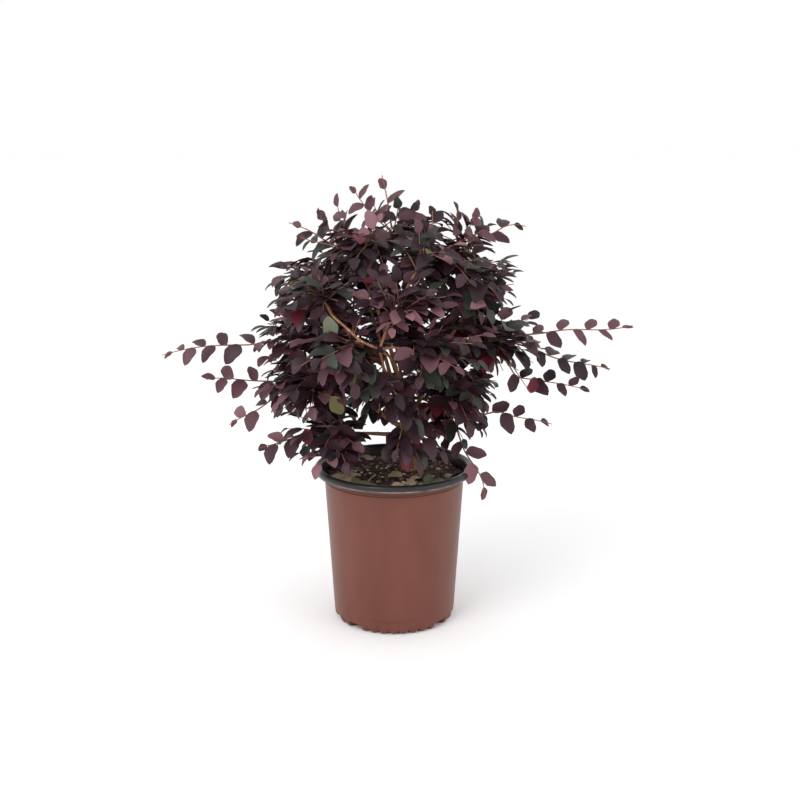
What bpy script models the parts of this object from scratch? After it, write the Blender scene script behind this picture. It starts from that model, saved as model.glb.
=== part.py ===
# Purple-leaved fringe flower shrub in its round nursery pot, as separate solids.
# Metres, +Z up. The origin is the centre of the pot's flat underside and -Y is the front.

import math
import random

import bpy
import bmesh
from mathutils import Vector
from mathutils.bvhtree import BVHTree

# Gap between neighbouring solids
GAP = 0.0003

# Pot
POT_SIDES = 40
RIM_RADIUS = 0.1140
RIM_HEIGHT = 0.2265
ROLL_HALF_WIDTH = 0.0052
ROLL_HALF_HEIGHT = 0.0050
BODY_TOP_RADIUS = 0.1003
BODY_BASE_RADIUS = 0.0875
FOOT_RADIUS = 0.0815
CORNER_HEIGHT = 0.0100
FOOT_BEND_OUT = 0.70
FOOT_BEND_UP = 0.35
WALL = 0.0020
FLOOR_TOP = 0.0115
COLLAR_DROP = 0.0135
COLLAR_STEP = 0.0006
NOTCH_HEIGHT = 0.0090
NOTCH_DEPTH = 0.0200
NOTCH_ANGLE = math.radians(15)
NARROW_FOOT_ANGLE = math.radians(17)
FRONT_FOOT_AZIMUTH = math.radians(-85.4)
FOOT_SETS = 3

# Soil
SOIL_TOP = 0.2140
SOIL_EDGE_DROP = 0.0030
SOIL_FLAT_RADIUS = 0.062
SOIL_RIPPLE = 0.0012
SOIL_RIPPLE_WAVES = 5
SOIL_RIPPLE_TWIST = 40

# Trunk
TRUNK_FOOT = Vector((0.022, 0.020, SOIL_TOP + GAP))
TRUNK_TOP = Vector((0.015, 0.004, 0.298))
FLARE_RADIUS = 0.0170
FLARE_HEIGHT = 0.016
FLARE_STEEPNESS = 3.0
TRUNK_RADIUS = 0.0090
TRUNK_TOP_RADIUS = 0.0075
TRUNK_SIDES = 12
TRUNK_SHARES = (0.0, 0.07, 0.18, 0.40, 0.62, 0.82, 1.0)
TRUNK_BOW = 0.0025

# Crown tiers: name, masses, height, centre x, outer reach, half width outwards,
# half width along the ring, half height, azimuth of the first mass in degrees
TIERS = (
    ("skirt", 7, 0.286, -0.018, 0.152, 0.052, 0.066, 0.036, -64),
    ("lower", 7, 0.346, -0.016, 0.184, 0.062, 0.078, 0.042, -90),
    ("middle", 7, 0.416, -0.001, 0.209, 0.068, 0.084, 0.049, -64),
    ("high", 7, 0.484, 0.003, 0.193, 0.068, 0.082, 0.041, -90),
    ("top", 5, 0.532, 0.010, 0.140, 0.060, 0.072, 0.032, -60),
    ("tip", 1, 0.547, -0.002, 0.050, 0.050, 0.050, 0.026, 0),
)
MASS_POINTS = 76
MASS_ROUGHNESS = 0.16
MASS_SMALLEST = 0.010
MASS_LOWEST = RIM_HEIGHT + 0.004
MASS_SIZE_SPREAD = 0.06
MASS_HEIGHT_SPREAD = 0.008
MASS_AZIMUTH_SPREAD = 4
RIPPLES_PER_MASS = 5
RIPPLE_LEAST = 2.4
RIPPLE_MOST = 5.0
NEIGHBOUR_REACH = 0.7
LIMB_SPACING = 1.15
WIDEST_CONE_SINE = 0.9
SEED = 21

# The opening in the lower crown that lets the light through from front to back
SKY_GAP_PLACE = -0.022
SKY_GAP_HEIGHT = 0.277
SKY_GAP_RADIUS = 0.012
SKY_GAP_SLOPE = math.tan(math.radians(14.5))
SKY_GAP_REACH = 0.21
SKY_GAP_STEPS = 25

# Boughs: name, height up the trunk (0 to 1), azimuth at the trunk, tier and azimuth
# of the mass that it enters, radius at the root, radius at the tip, via points or None
BOUGHS = (
    ("bough_leader", 1.00, 0, "top", 150, 0.0062, 0.0030, None),
    ("bough_front_right", 0.86, -50, "middle", -22, 0.0052, 0.0026, None),
    ("bough_front_left_bare", 0.94, -110, "high", -141, 0.0050, 0.0022,
     (Vector((-0.002, -0.122, 0.402)), Vector((-0.056, -0.166, 0.444)))),
    ("bough_left_low", 0.62, 172, "skirt", 180, 0.0050, 0.0026, None),
    ("bough_left", 0.78, 166, "middle", 180, 0.0052, 0.0026, None),
    ("bough_right_low", 0.70, 2, "lower", 14, 0.0050, 0.0026, None),
    ("bough_right_high", 0.93, 40, "high", 15, 0.0050, 0.0026, None),
    ("bough_back_right", 0.76, 78, "middle", 68, 0.0050, 0.0026, None),
    ("bough_back_left", 0.88, 108, "high", 115, 0.0050, 0.0026, None),
    ("bough_back_low", 0.52, 100, "lower", 90, 0.0046, 0.0024, None),
)
BOUGH_SIDES = 8
BOUGH_RINGS = 8
BOUGH_CLEARANCE = 0.0040
BOUGH_COLLAR_REACH = 0.022
BOUGH_SPREAD = 0.45
BOUGH_SAMPLES = 41
SEAT_REACH = 0.05

# Sprays that stand out of the masses: name, azimuth, radius and height of the tip,
# tier and azimuth of the mass that carries it, half width, outward and upward bend
SPRAYS = (
    ("spray_left_long", 180.0, 0.326, 0.384, "middle", 180, 0.020, 0.0, 0.010),
    ("spray_left_mid", 187.0, 0.262, 0.356, "lower", 190, 0.022, 0.0, 0.008),
    ("spray_left_low", 174.0, 0.240, 0.277, "lower", 168, 0.026, 0.0, 0.004),
    ("spray_left_foot", 192.0, 0.192, 0.260, "skirt", 190, 0.015, 0.0, 0.0),
    ("spray_right_long", -2.0, 0.331, 0.428, "middle", 0, 0.016, 0.0, -0.010),
    ("spray_right_mid", 6.0, 0.312, 0.358, "middle", 10, 0.018, 0.0, 0.0),
    ("spray_right_low", -3.0, 0.274, 0.337, "lower", 5, 0.014, 0.004, 0.003),
    ("spray_right_droop", -14.0, 0.224, 0.298, "lower", -20, 0.018, 0.0, 0.0),
    ("spray_over_rim", -24.0, 0.137, 0.192, "skirt", -12, 0.012, 0.025, 0.006),
    ("spray_top_left", 168.0, 0.150, 0.566, "top", 160, 0.018, 0.0, 0.004),
    ("spray_top", 178.0, 0.016, 0.632, "tip", 0, 0.013, 0.0, 0.0),
    ("spray_top_right", 9.0, 0.186, 0.561, "top", 10, 0.010, 0.0, 0.014),
    ("spray_back", 88.0, 0.262, 0.400, "middle", 90, 0.020, 0.0, 0.006),
)
SPRAY_SIDES = 8
SPRAY_RINGS = 7
SPRAY_ROOT_RADIUS = 0.0035
SPRAY_TIP_RADIUS = 0.0015
SPRAY_FLATNESS = 0.70
SPRAY_LEAVE = 0.3
SPRAY_MIDDLE = 0.6
SPRAY_SWELL_SHIFT = 1.25
SPRAY_SWELL_FULLNESS = 0.9


def clear_scene():
    for item in list(bpy.data.objects):
        bpy.data.objects.remove(item, do_unlink=True)


def make_material(name, colour, roughness):
    material = bpy.data.materials.new(name)
    material.use_nodes = True
    shader = material.node_tree.nodes["Principled BSDF"]
    shader.inputs["Base Color"].default_value = (*colour, 1.0)
    shader.inputs["Roughness"].default_value = roughness
    shader.inputs["Metallic"].default_value = 0.0
    return material


def add_object(name, bm, material, smooth=True):
    bmesh.ops.recalc_face_normals(bm, faces=bm.faces)
    mesh = bpy.data.meshes.new(name)
    bm.to_mesh(mesh)
    bm.free()
    if smooth:
        mesh.shade_smooth()
        mesh.set_sharp_from_angle(angle=math.radians(35))
    mesh.materials.append(material)
    obj = bpy.data.objects.new(name, mesh)
    bpy.context.collection.objects.link(obj)
    return obj


def bvh_of(obj):
    mesh = obj.data
    faces = [tuple(face.vertices) for face in mesh.polygons]
    return BVHTree.FromPolygons([vertex.co.copy() for vertex in mesh.vertices], faces)


def around(azimuth, radius, height, centre_x=0.0):
    # Azimuth in degrees, 0 at +X and -90 at the front
    turn = math.radians(azimuth)
    return Vector((centre_x + radius * math.cos(turn), radius * math.sin(turn), height))


def angle_between(first, second):
    return abs((first - second + 180) % 360 - 180)


def lathe(profile, sides, height_at=None):
    # The profile starts and ends on the axis; height_at may lift single points
    bm = bmesh.new()
    rings = []
    for radius, height in profile:
        if radius == 0:
            rings.append([bm.verts.new((0, 0, height))])
            continue
        ring = []
        for step in range(sides):
            turn = math.tau * step / sides
            lift = height_at(radius, height, turn) if height_at else 0.0
            point = (radius * math.cos(turn), radius * math.sin(turn), height + lift)
            ring.append(bm.verts.new(point))
        rings.append(ring)
    for lower, upper in zip(rings, rings[1:]):
        for step in range(sides):
            after = (step + 1) % sides
            if len(lower) == 1:
                bm.faces.new((lower[0], upper[after], upper[step]))
            elif len(upper) == 1:
                bm.faces.new((lower[step], lower[after], upper[0]))
            else:
                bm.faces.new((lower[step], lower[after], upper[after], upper[step]))
    return bm


def body_radius(height):
    share = (height - CORNER_HEIGHT) / (RIM_HEIGHT - 2 * ROLL_HALF_HEIGHT - CORNER_HEIGHT)
    return BODY_BASE_RADIUS + (BODY_TOP_RADIUS - BODY_BASE_RADIUS) * share


def pot_profile():
    roll_radius = RIM_RADIUS - ROLL_HALF_WIDTH
    roll_height = RIM_HEIGHT - ROLL_HALF_HEIGHT
    underside = RIM_HEIGHT - 2 * ROLL_HALF_HEIGHT
    collar = RIM_HEIGHT - 2 * ROLL_HALF_HEIGHT - COLLAR_DROP / 2
    profile = [(0.0, 0.0), (FOOT_RADIUS, 0.0)]
    bend_radius = FOOT_RADIUS + FOOT_BEND_OUT * (BODY_BASE_RADIUS - FOOT_RADIUS)
    profile.append((bend_radius, FOOT_BEND_UP * CORNER_HEIGHT))
    profile.append((BODY_BASE_RADIUS, CORNER_HEIGHT))
    profile.append((body_radius(collar), collar))
    profile.append((body_radius(collar) + COLLAR_STEP, collar + COLLAR_STEP))
    profile.append((BODY_TOP_RADIUS + COLLAR_STEP, underside))
    for degrees in (-80, -40, 0, 45, 90, 135, 180):
        turn = math.radians(degrees)
        profile.append((roll_radius + ROLL_HALF_WIDTH * math.cos(turn),
                        roll_height + ROLL_HALF_HEIGHT * math.sin(turn)))
    profile.append((body_radius(SOIL_TOP) - WALL, SOIL_TOP))
    profile.append((body_radius(FLOOR_TOP) - WALL, FLOOR_TOP))
    profile.append((0.0, FLOOR_TOP))
    return profile


def notch_azimuths():
    # A notch lies on each side of every narrow foot, between the wide feet
    pitch = math.tau / FOOT_SETS
    offset = (NARROW_FOOT_ANGLE + NOTCH_ANGLE) / 2
    for foot in range(FOOT_SETS):
        narrow = FRONT_FOOT_AZIMUTH + pitch * (foot + 0.5)
        yield narrow - offset
        yield narrow + offset


def make_notch_cutter():
    bm = bmesh.new()
    inner = FOOT_RADIUS - NOTCH_DEPTH
    outer = BODY_BASE_RADIUS + NOTCH_DEPTH
    for azimuth in notch_azimuths():
        corners = []
        for height in (-NOTCH_HEIGHT, NOTCH_HEIGHT):
            for radius, side in ((inner, -0.5), (outer, -0.5), (outer, 0.5), (inner, 0.5)):
                turn = azimuth + side * NOTCH_ANGLE
                point = (radius * math.cos(turn), radius * math.sin(turn), height)
                corners.append(bm.verts.new(point))
        bm.faces.new(corners[:4][::-1])
        bm.faces.new(corners[4:])
        for step in range(4):
            after = (step + 1) % 4
            bm.faces.new((corners[step], corners[after], corners[4 + after], corners[4 + step]))
    cutter = add_object("drain_notch_cutter", bm, bpy.data.materials["pot_plastic"], smooth=False)
    cutter.hide_render = True
    cutter.display_type = "WIRE"
    return cutter


def make_pot():
    pot = add_object("nursery_pot", lathe(pot_profile(), POT_SIDES),
                     make_material("pot_plastic", (0.25, 0.095, 0.065), 0.42))
    cut = pot.modifiers.new("drain_notches", "BOOLEAN")
    cut.operation = "DIFFERENCE"
    cut.solver = "EXACT"
    cut.object = make_notch_cutter()
    return pot


def make_soil():
    def unevenness(radius, height, turn):
        if height < SOIL_TOP - 2 * SOIL_EDGE_DROP or radius < SOIL_FLAT_RADIUS + GAP:
            return 0.0
        share = (radius - SOIL_FLAT_RADIUS) / (BODY_TOP_RADIUS - SOIL_FLAT_RADIUS)
        wave = math.sin(SOIL_RIPPLE_WAVES * turn + SOIL_RIPPLE_TWIST * radius)
        return SOIL_RIPPLE * share * wave

    edge = SOIL_TOP - SOIL_EDGE_DROP
    rough_radius = (SOIL_FLAT_RADIUS + BODY_TOP_RADIUS) / 2
    profile = [
        (0.0, FLOOR_TOP + GAP),
        (body_radius(FLOOR_TOP + GAP) - WALL - GAP, FLOOR_TOP + GAP),
        (body_radius(edge) - WALL - 2 * GAP, edge),
        (rough_radius, SOIL_TOP - SOIL_EDGE_DROP / 3),
        (SOIL_FLAT_RADIUS, SOIL_TOP),
        (0.0, SOIL_TOP),
    ]
    soil = lathe(profile, POT_SIDES, unevenness)
    return add_object("soil", soil, make_material("potting_mix", (0.055, 0.032, 0.022), 0.95))


def bezier(start, start_handle, end_handle, end, share):
    rest = 1 - share
    return (start * rest ** 3 + start_handle * 3 * rest ** 2 * share
            + end_handle * 3 * rest * share ** 2 + end * share ** 3)


def curve_path(start, start_way, end, end_way, via, rings):
    # A smooth path that leaves square to the trunk, turns up at once and arrives along end_way
    knots = [start, *(via or ()), end]
    ways = [start_way.normalized()]
    for before, after in zip(knots, knots[2:]):
        ways.append((after - before).normalized())
    ways.append(end_way.normalized())
    per_span = max(2, round((rings - 1) / (len(knots) - 1)))
    path = []
    for index in range(len(knots) - 1):
        reach = (knots[index + 1] - knots[index]).length / 3
        leave = knots[index] + ways[index] * (reach if index else BOUGH_COLLAR_REACH)
        arrive = knots[index + 1] - ways[index + 1] * reach
        for step in range(per_span):
            path.append(bezier(knots[index], leave, arrive, knots[index + 1], step / per_span))
    path.append(end)
    return path


def path_ways(path, start_way, end_way):
    ways = [start_way.normalized()]
    for before, after in zip(path, path[2:]):
        ways.append((after - before).normalized())
    ways.append(end_way.normalized())
    return ways


def tube(path, ways, wide, thick, sides):
    # A closed tapering limb: wide and thick are the half widths at each point
    bm = bmesh.new()
    across = ways[0].orthogonal().normalized()
    if abs(ways[0].z) < 0.9:
        across = ways[0].cross(Vector((0, 0, 1))).normalized()
    rings = []
    for point, way, half, depth in zip(path, ways, wide, thick):
        across = (across - way * across.dot(way)).normalized()
        upward = across.cross(way).normalized()
        ring = []
        for step in range(sides):
            turn = math.tau * (step + 0.5) / sides
            offset = across * (half * math.cos(turn)) + upward * (depth * math.sin(turn))
            ring.append(bm.verts.new(point + offset))
        rings.append(ring)
    for lower, upper in zip(rings, rings[1:]):
        for step in range(sides):
            after = (step + 1) % sides
            bm.faces.new((lower[step], lower[after], upper[after], upper[step]))
    bm.faces.new(rings[0][::-1])
    bm.faces.new(rings[-1])
    return bm


def make_trunk():
    # The foot is cut flat at the soil and the root flare narrows within its first part
    lean = TRUNK_TOP - TRUNK_FOOT
    path = []
    radii = []
    for share in TRUNK_SHARES:
        height = share * lean.z
        flare = math.exp(-FLARE_STEEPNESS * height / FLARE_HEIGHT)
        plain = TRUNK_RADIUS + (TRUNK_TOP_RADIUS - TRUNK_RADIUS) * share
        bow = math.sin(math.pi * share) * TRUNK_BOW
        path.append(TRUNK_FOOT + lean * share + Vector((bow, 0, 0)))
        radii.append(plain + (FLARE_RADIUS - plain) * flare)
    up = Vector((0, 0, 1))
    bm = tube(path, [up] * len(path), radii, radii, TRUNK_SIDES)
    return add_object("trunk", bm, make_material("bark", (0.22, 0.13, 0.085), 0.85))


def trunk_axis(share):
    return TRUNK_FOOT.lerp(TRUNK_TOP, share)


def spread_directions(count):
    # Nearly even directions on a sphere, from a golden-angle spiral
    golden = math.pi * (3 - math.sqrt(5))
    for step in range(count):
        height = 1 - 2 * (step + 0.5) / count
        level = math.sqrt(1 - height * height)
        yield Vector((level * math.cos(golden * step), level * math.sin(golden * step), height))


def plan_masses():
    # Every mass knows its centre, its own three directions and its half sizes
    masses = []
    generator = random.Random(SEED)
    for tier, count, height, centre_x, reach, out, along, tall, first in TIERS:
        for index in range(count):
            azimuth = first + 360 * index / count
            if count > 1:
                azimuth += generator.uniform(-MASS_AZIMUTH_SPREAD, MASS_AZIMUTH_SPREAD)
            size = generator.uniform(1 - MASS_SIZE_SPREAD, 1 + MASS_SIZE_SPREAD)
            level = height + generator.uniform(-MASS_HEIGHT_SPREAD, MASS_HEIGHT_SPREAD)
            centre = around(azimuth, max(reach - out * size, 0.0), level, centre_x)
            outward = around(azimuth, 1.0, 0.0)
            ripples = []
            for _ in range(RIPPLES_PER_MASS):
                way = Vector([generator.gauss(0, 1) for _ in range(3)]).normalized()
                wave = way * generator.uniform(RIPPLE_LEAST, RIPPLE_MOST)
                ripples.append((wave, generator.uniform(0, math.tau)))
            masses.append({
                "name": "leaves_" + tier + (f"_{index + 1}" if count > 1 else ""),
                "tier": tier,
                "azimuth": azimuth,
                "centre": centre,
                "axes": (outward, Vector((-outward.y, outward.x, 0)), Vector((0, 0, 1))),
                "halves": (out * size, along * size, tall * size),
                "ripples": ripples,
            })
    return masses


def plain_radius(mass, way):
    total = 0.0
    for axis, half in zip(mass["axes"], mass["halves"]):
        total += (way.dot(axis) / half) ** 2
    swell = 0.0
    for wave, phase in mass["ripples"]:
        swell += math.cos(wave.dot(way) + phase) / len(mass["ripples"])
    return (1 + 2 * MASS_ROUGHNESS * swell) / math.sqrt(total)


def neighbour_planes(mass, masses):
    # The plane between two masses lies nearer to the smaller one
    planes = []
    for other in masses:
        if other is mass:
            continue
        across = other["centre"] - mass["centre"]
        distance = across.length
        way = across / distance
        own = plain_radius(mass, way)
        far = plain_radius(other, -way)
        if own + far > NEIGHBOUR_REACH * distance:
            planes.append((way, distance * own / (own + far) - GAP / 2))
    return planes


def limb_limit(mass, way, limbs, spacing):
    # Directions that point at a passing limb stop short of the limb
    limit = math.inf
    for samples, target in limbs:
        if target is mass:
            continue
        for point, radius in samples:
            offset = point - mass["centre"]
            distance = max(offset.length, 0.001)
            cone = spacing + math.asin(min(WIDEST_CONE_SINE, radius / distance))
            if way.dot(offset) > distance * math.cos(cone):
                limit = min(limit, distance - radius - BOUGH_CLEARANCE)
    return limit


def sky_gap_samples():
    # A straight way from front to back, on the pot's axis at its own height
    samples = []
    for step in range(SKY_GAP_STEPS):
        depth = SKY_GAP_REACH * (2 * step / (SKY_GAP_STEPS - 1) - 1)
        place = Vector((SKY_GAP_PLACE, depth, SKY_GAP_HEIGHT - depth * SKY_GAP_SLOPE))
        samples.append((place, SKY_GAP_RADIUS))
    return samples


def make_mass(mass, masses, limbs, material):
    planes = neighbour_planes(mass, masses)
    spacing = LIMB_SPACING * math.sqrt(4 * math.pi / MASS_POINTS)
    bm = bmesh.new()
    for way in spread_directions(MASS_POINTS):
        bm.verts.new(way)
    hull = bmesh.ops.convex_hull(bm, input=bm.verts)
    bmesh.ops.delete(bm, geom=hull["geom_interior"], context="VERTS")
    floor = mass["centre"].z - MASS_LOWEST
    for vertex in bm.verts:
        way = vertex.co.normalized()
        radius = plain_radius(mass, way)
        for normal, offset in planes:
            if way.dot(normal) > 0.01:
                radius = min(radius, offset / way.dot(normal))
        if way.z < -0.01:
            radius = min(radius, -floor / way.z)
        radius = min(radius, limb_limit(mass, way, limbs, spacing))
        vertex.co = mass["centre"] + way * max(radius, MASS_SMALLEST)
    return add_object(mass["name"], bm, material, smooth=False)


def find_mass(masses, tier, azimuth):
    fitting = [mass for mass in masses if mass["tier"] == tier]
    return min(fitting, key=lambda mass: angle_between(mass["azimuth"], azimuth))


def seat(tree, outside, inside):
    # The first point met on the way in, lifted off its face by the gap
    point, normal, _, _ = tree.ray_cast(outside, (inside - outside).normalized())
    if normal.dot(outside - inside) < 0:
        normal = -normal
    return point + normal * GAP, normal


def bough_root(tree, share, azimuth):
    axis = trunk_axis(share)
    if share >= 1.0:
        return seat(tree, axis + Vector((0, 0, SEAT_REACH)), axis)
    return seat(tree, axis + around(azimuth, SEAT_REACH, 0.0), axis)


def plan_boughs(masses, trunk_tree):
    boughs = []
    for name, share, azimuth, tier, aim, thick, thin, via in BOUGHS:
        root, root_way = bough_root(trunk_tree, share, azimuth)
        boughs.append({
            "name": name,
            "root": root,
            "way": root_way,
            "target": find_mass(masses, tier, aim),
            "thick": thick,
            "thin": thin,
            "via": via,
        })
    return boughs


def arrival_way(bough, end):
    # A limb bends outwards as it comes to its mass, unless it reaches it from outside
    if bough["via"]:
        return (end - bough["via"][-1]).normalized()
    way = (end - bough["root"]).normalized()
    outward = Vector((end.x, end.y, 0)).normalized()
    return (way + outward * BOUGH_SPREAD).normalized()


def bough_samples(bough):
    # Points along the way to the mass, dense enough to keep the other masses clear
    target = bough["target"]["centre"]
    way = arrival_way(bough, target)
    path = curve_path(bough["root"], bough["way"], target, way, bough["via"], BOUGH_SAMPLES)
    samples = []
    for index, point in enumerate(path):
        share = index / (len(path) - 1)
        samples.append((point, bough["thick"] + (bough["thin"] - bough["thick"]) * share))
    return samples


def cut_at_mass(points, tree):
    # The way ends just short of the face where it would enter the mass
    for index, (near, far) in enumerate(zip(points, points[1:])):
        step = far - near
        hit, normal, _, _ = tree.ray_cast(near, step.normalized(), step.length)
        if hit is not None:
            return points[:index], hit + normal * GAP, normal
    raise ValueError("the limb misses its mass")


def make_bough(bough, tree, material):
    points = [point for point, _ in bough_samples(bough)]
    kept, end, normal = cut_at_mass(points, tree)
    path = []
    for ring in range(BOUGH_RINGS):
        path.append(kept[round(ring * (len(kept) - 1) / (BOUGH_RINGS - 1))])
    path.append(end)
    ways = path_ways(path, bough["way"], -normal)
    radii = []
    for index in range(len(path)):
        share = index / (len(path) - 1)
        radii.append(bough["thick"] + (bough["thin"] - bough["thick"]) * share)
    bm = tube(path, ways, radii, radii, BOUGH_SIDES)
    return add_object(bough["name"], bm, material)


def make_spray(name, tip, mass, tree, half, bend, material):
    # A thin pad that leaves its mass square to the surface and bends to its tip
    root, normal = seat(tree, tip, mass["centre"])
    reach = (tip - root).length
    leave = root + normal * reach * SPRAY_LEAVE
    middle = root.lerp(tip, SPRAY_MIDDLE) + bend
    path = []
    for step in range(SPRAY_RINGS):
        share = step / (SPRAY_RINGS - 1)
        path.append(bezier(root, leave, middle, tip, share))
    ways = path_ways(path, normal, tip - middle)
    wide = []
    thick = []
    for step in range(SPRAY_RINGS):
        share = step / (SPRAY_RINGS - 1)
        plain = SPRAY_ROOT_RADIUS + (SPRAY_TIP_RADIUS - SPRAY_ROOT_RADIUS) * share
        swell = max(0.0, math.sin(math.pi * share ** SPRAY_SWELL_SHIFT)) ** SPRAY_SWELL_FULLNESS
        wide.append(plain + (half - plain) * swell)
        thick.append(plain + (half * SPRAY_FLATNESS - plain) * swell)
    return add_object(name, tube(path, ways, wide, thick, SPRAY_SIDES), material, smooth=False)


def main():
    clear_scene()
    make_pot()
    make_soil()
    trunk = make_trunk()
    bark = make_material("bough_bark", (0.30, 0.15, 0.085), 0.80)
    foliage = make_material("leaf_mass", (0.055, 0.030, 0.042), 0.60)
    masses = plan_masses()
    boughs = plan_boughs(masses, bvh_of(trunk))
    limbs = [(bough_samples(bough), bough["target"]) for bough in boughs]
    limbs.append((sky_gap_samples(), None))
    solids = {}
    for mass in masses:
        solids[mass["name"]] = make_mass(mass, masses, limbs, foliage)
    for bough in boughs:
        make_bough(bough, bvh_of(solids[bough["target"]["name"]]), bark)
    for name, azimuth, radius, height, tier, aim, half, push, lift in SPRAYS:
        mass = find_mass(masses, tier, aim)
        tree = bvh_of(solids[mass["name"]])
        bend = around(azimuth, push, lift)
        make_spray(name, around(azimuth, radius, height), mass, tree, half, bend, foliage)


main()
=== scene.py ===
# Purple fringe flower shrub in its nursery pot: the looks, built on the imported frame.
# Metres, +Z up. The pot stands on z = 0 and the front of the plant faces -Y.

import math
import random

import bpy
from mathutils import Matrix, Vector, noise
from mathutils.bvhtree import BVHTree


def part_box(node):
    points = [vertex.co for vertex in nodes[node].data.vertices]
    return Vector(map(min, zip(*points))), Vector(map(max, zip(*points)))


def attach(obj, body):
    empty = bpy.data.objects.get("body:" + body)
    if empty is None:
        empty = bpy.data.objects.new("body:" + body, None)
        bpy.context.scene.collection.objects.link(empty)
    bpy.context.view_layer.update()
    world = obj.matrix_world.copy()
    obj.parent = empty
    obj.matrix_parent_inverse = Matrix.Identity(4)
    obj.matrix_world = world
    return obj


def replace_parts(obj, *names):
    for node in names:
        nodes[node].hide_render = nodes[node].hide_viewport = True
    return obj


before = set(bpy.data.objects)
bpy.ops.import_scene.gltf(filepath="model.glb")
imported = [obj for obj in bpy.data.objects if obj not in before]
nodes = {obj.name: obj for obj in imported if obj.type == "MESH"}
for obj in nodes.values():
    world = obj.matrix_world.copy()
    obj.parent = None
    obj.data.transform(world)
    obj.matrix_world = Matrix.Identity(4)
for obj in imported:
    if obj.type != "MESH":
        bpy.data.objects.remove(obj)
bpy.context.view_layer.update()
massNodes = sorted(name for name in nodes if name.startswith("leaves_"))
sprayNodes = sorted(name for name in nodes if name.startswith("spray_"))
boughNodes = sorted(name for name in nodes if name.startswith("bough_"))
print("frame loaded:", len(nodes), "nodes")

# the photograph's camera
view = {
    "target": Vector((0.0084, 0.0, 0.3195)),
    "distance": 1.629,
    "elevation": math.radians(13.0),
    "lens": 51.75,
    "sensor": 36.0,
    "pixels": 800,
}
photoEye = view["target"] + view["distance"] * Vector(
    (0, -math.cos(view["elevation"]), math.sin(view["elevation"])))
viewForward = (view["target"] - photoEye).normalized()
viewRight = Vector((1, 0, 0))
viewUp = viewRight.cross(viewForward)
focalPixels = view["lens"] / view["sensor"] * view["pixels"]
halfPixels = view["pixels"] / 2


def photoPixel(point):
    # where a point lands in the photograph
    offset = point - photoEye
    depth = offset.dot(viewForward)
    return (halfPixels + focalPixels * offset.dot(viewRight) / depth,
            halfPixels - focalPixels * offset.dot(viewUp) / depth)


def photoSpot(pixel, depth):
    # the point at y = depth that lands on a pixel of the photograph
    way = (viewForward + viewRight * ((pixel[0] - halfPixels) / focalPixels)
           + viewUp * ((halfPixels - pixel[1]) / focalPixels))
    return photoEye + way * ((depth - photoEye.y) / way.y)


def plainMaterial(name, colour, roughness, specular=0.5):
    material = bpy.data.materials.new(name)
    material.use_nodes = True
    shader = material.node_tree.nodes["Principled BSDF"]
    shader.inputs["Base Color"].default_value = (*colour, 1)
    shader.inputs["Roughness"].default_value = roughness
    shader.inputs["Specular IOR Level"].default_value = specular
    return material


# how every mottled finish breaks up
mottle = {"detail": 6, "spread": 0.25, "bumpStrength": 0.6}


def mottledMaterial(name, dark, light, roughness, scale, relief, stretch=(1, 1, 1), specular=0.5):
    # two colours mixed by a noise that also raises the surface
    material = plainMaterial(name, light, roughness, specular)
    tree = material.node_tree
    shader = tree.nodes["Principled BSDF"]
    place = tree.nodes.new("ShaderNodeTexCoord")
    mapping = tree.nodes.new("ShaderNodeMapping")
    mapping.inputs["Scale"].default_value = stretch
    grain = tree.nodes.new("ShaderNodeTexNoise")
    grain.inputs["Scale"].default_value = scale
    grain.inputs["Detail"].default_value = mottle["detail"]
    ramp = tree.nodes.new("ShaderNodeValToRGB")
    ramp.color_ramp.elements[0].position = 0.5 - mottle["spread"]
    ramp.color_ramp.elements[0].color = (*dark, 1)
    ramp.color_ramp.elements[1].position = 0.5 + mottle["spread"]
    ramp.color_ramp.elements[1].color = (*light, 1)
    bump = tree.nodes.new("ShaderNodeBump")
    bump.inputs["Strength"].default_value = mottle["bumpStrength"]
    bump.inputs["Distance"].default_value = relief
    tree.links.new(place.outputs["Object"], mapping.inputs["Vector"])
    tree.links.new(mapping.outputs["Vector"], grain.inputs["Vector"])
    tree.links.new(grain.outputs["Fac"], ramp.inputs["Fac"])
    tree.links.new(ramp.outputs["Color"], shader.inputs["Base Color"])
    tree.links.new(grain.outputs["Fac"], bump.inputs["Height"])
    tree.links.new(bump.outputs["Normal"], shader.inputs["Normal"])
    return material


def addPiece(name, points, faces, materials, faceMaterials=None, sharpAngle=40):
    mesh = bpy.data.meshes.new(name)
    mesh.from_pydata([tuple(point) for point in points], [], faces)
    for material in materials:
        mesh.materials.append(material)
    if faceMaterials is not None:
        mesh.polygons.foreach_set("material_index", faceMaterials)
    mesh.validate()
    mesh.shade_smooth()
    mesh.set_sharp_from_angle(angle=math.radians(sharpAngle))
    piece = bpy.data.objects.new(name, mesh)
    bpy.context.collection.objects.link(piece)
    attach(piece, "root")
    return piece


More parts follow.
